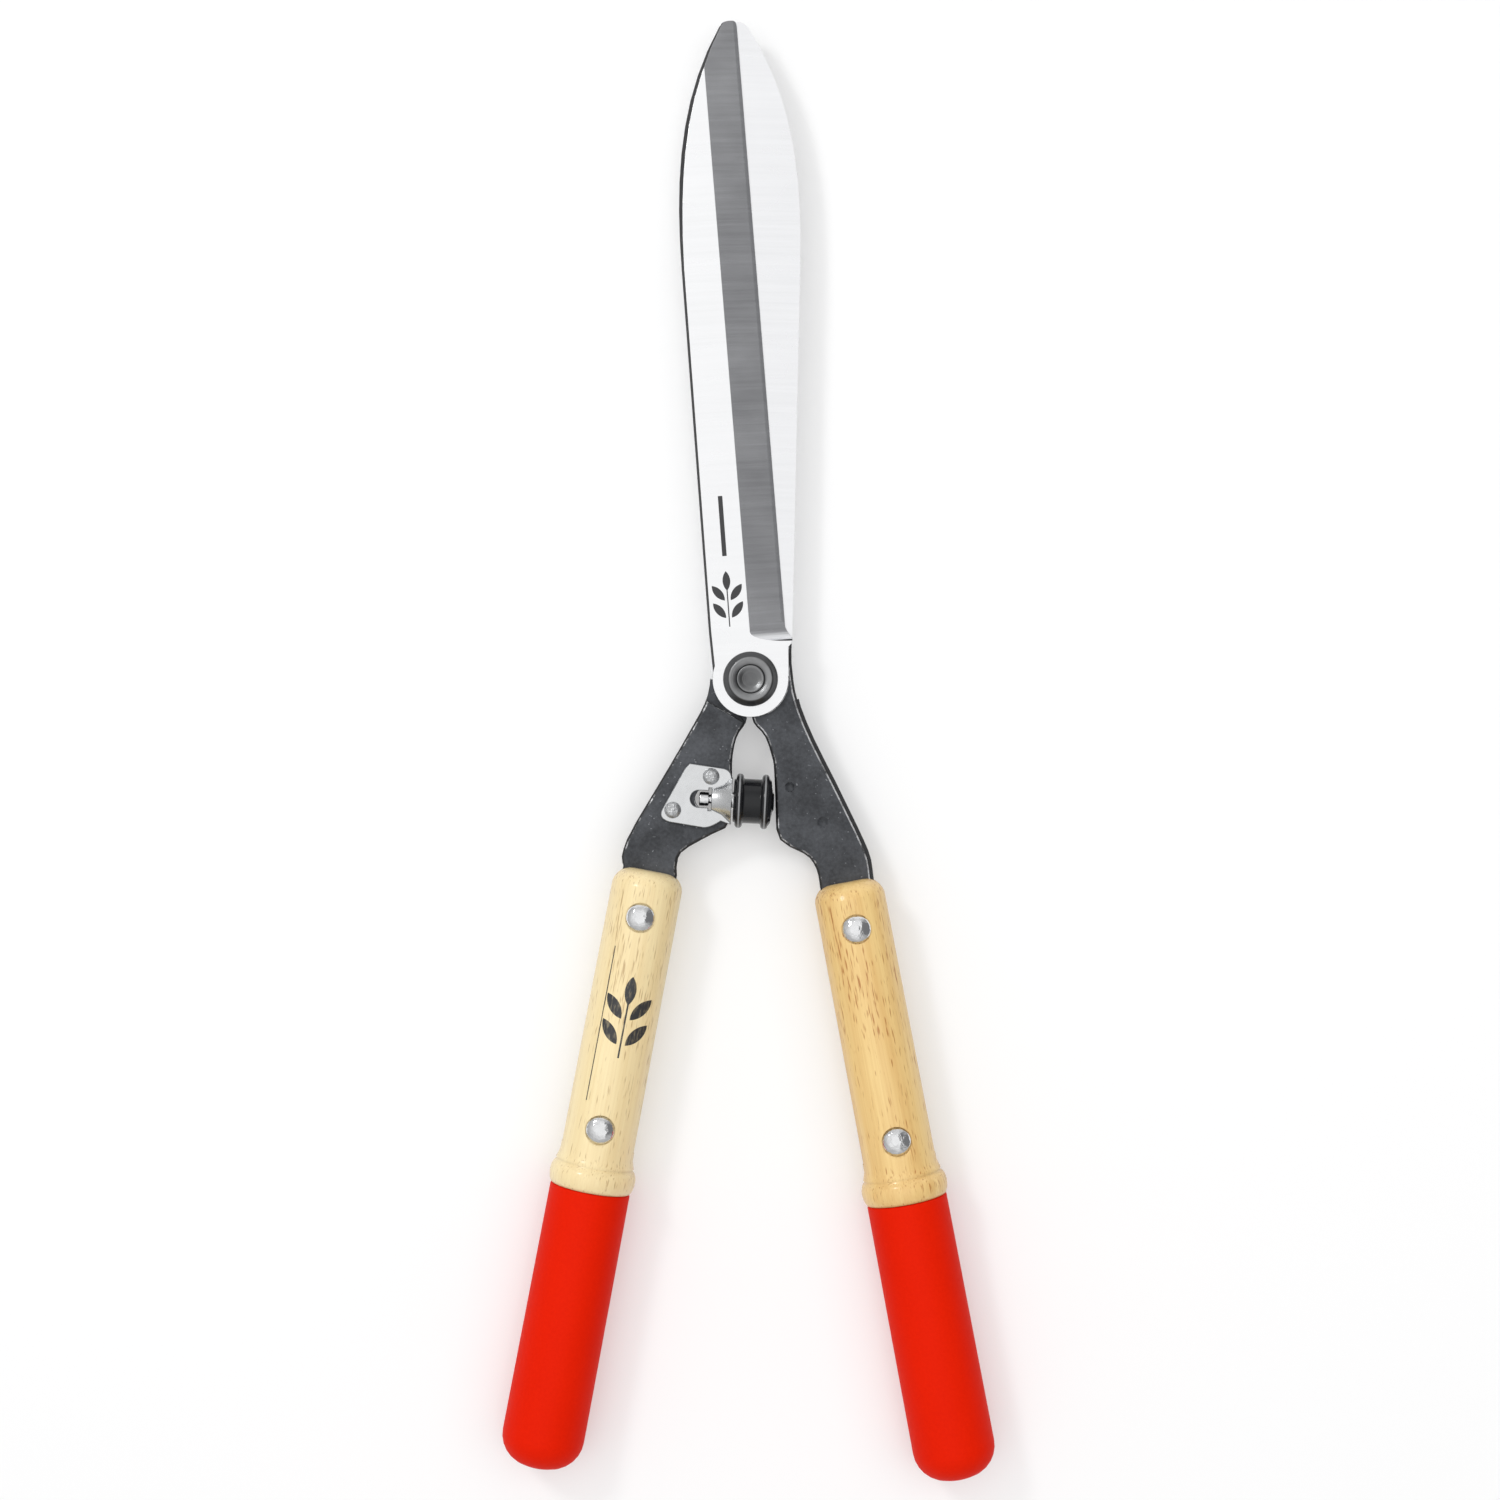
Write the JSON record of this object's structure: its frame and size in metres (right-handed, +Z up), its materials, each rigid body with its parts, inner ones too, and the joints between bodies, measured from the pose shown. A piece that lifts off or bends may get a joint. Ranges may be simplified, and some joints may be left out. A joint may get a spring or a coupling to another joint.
{
  "type": "hedge shears",
  "caption": "Hand shears with two long straight blades on one pivot, wooden handles with sleeved grips, and a rubber bumper between the straps.",
  "frame": {"origin": "on the pivot axis, at the height of the table that the shears lie on", "axes": "+Z up along the pivot axis, +Y towards the blade tips, +X to the right with the front blade on top"},
  "size_m": [0.1968, 0.5829, 0.0346],
  "materials": {
    "blade_steel": "ground and polished blade faces on a black forged strap",
    "pivot_steel": "turned, dark oiled steel",
    "zinc_plate": "bright zinc plating",
    "rivet_steel": "polished rivet heads",
    "bumper_rubber": "smooth moulded black rubber",
    "pale_ash": "turned and lacquered pale ash",
    "golden_ash": "turned and lacquered golden ash",
    "grip_vinyl": "soft matte red-orange vinyl"
  },
  "bodies": {
    "back_half": {"back_blade": "blade_steel", "pivot_washer": "zinc_plate", "bumper_bracket": "zinc_plate", "bracket_rivet_upper": "rivet_steel", "bracket_rivet_lower": "rivet_steel", "rubber_bumper": "bumper_rubber", "bumper_stud": "rivet_steel", "left_handle": "pale_ash", "left_grip": "grip_vinyl", "left_upper_rivet": "rivet_steel", "left_lower_rivet": "rivet_steel", "left_upper_rivet_washer": "rivet_steel", "left_lower_rivet_washer": "rivet_steel"},
    "front_half": {"front_blade": "blade_steel", "pivot_hub": "pivot_steel", "pivot_bolt": "pivot_steel", "spring_washer": "pivot_steel", "pivot_nut": "zinc_plate", "right_handle": "golden_ash", "right_grip": "grip_vinyl", "right_upper_rivet": "rivet_steel", "right_lower_rivet": "rivet_steel", "right_upper_rivet_washer": "rivet_steel", "right_lower_rivet_washer": "rivet_steel"}
  },
  "joints": [
    {"name": "blade_pivot", "type": "hinge", "parent": "back_half", "child": "front_half", "pos_m": [0, 0, 0.0173], "axis": [0, 0, 1], "range_deg": [0, 58]}
  ]
}
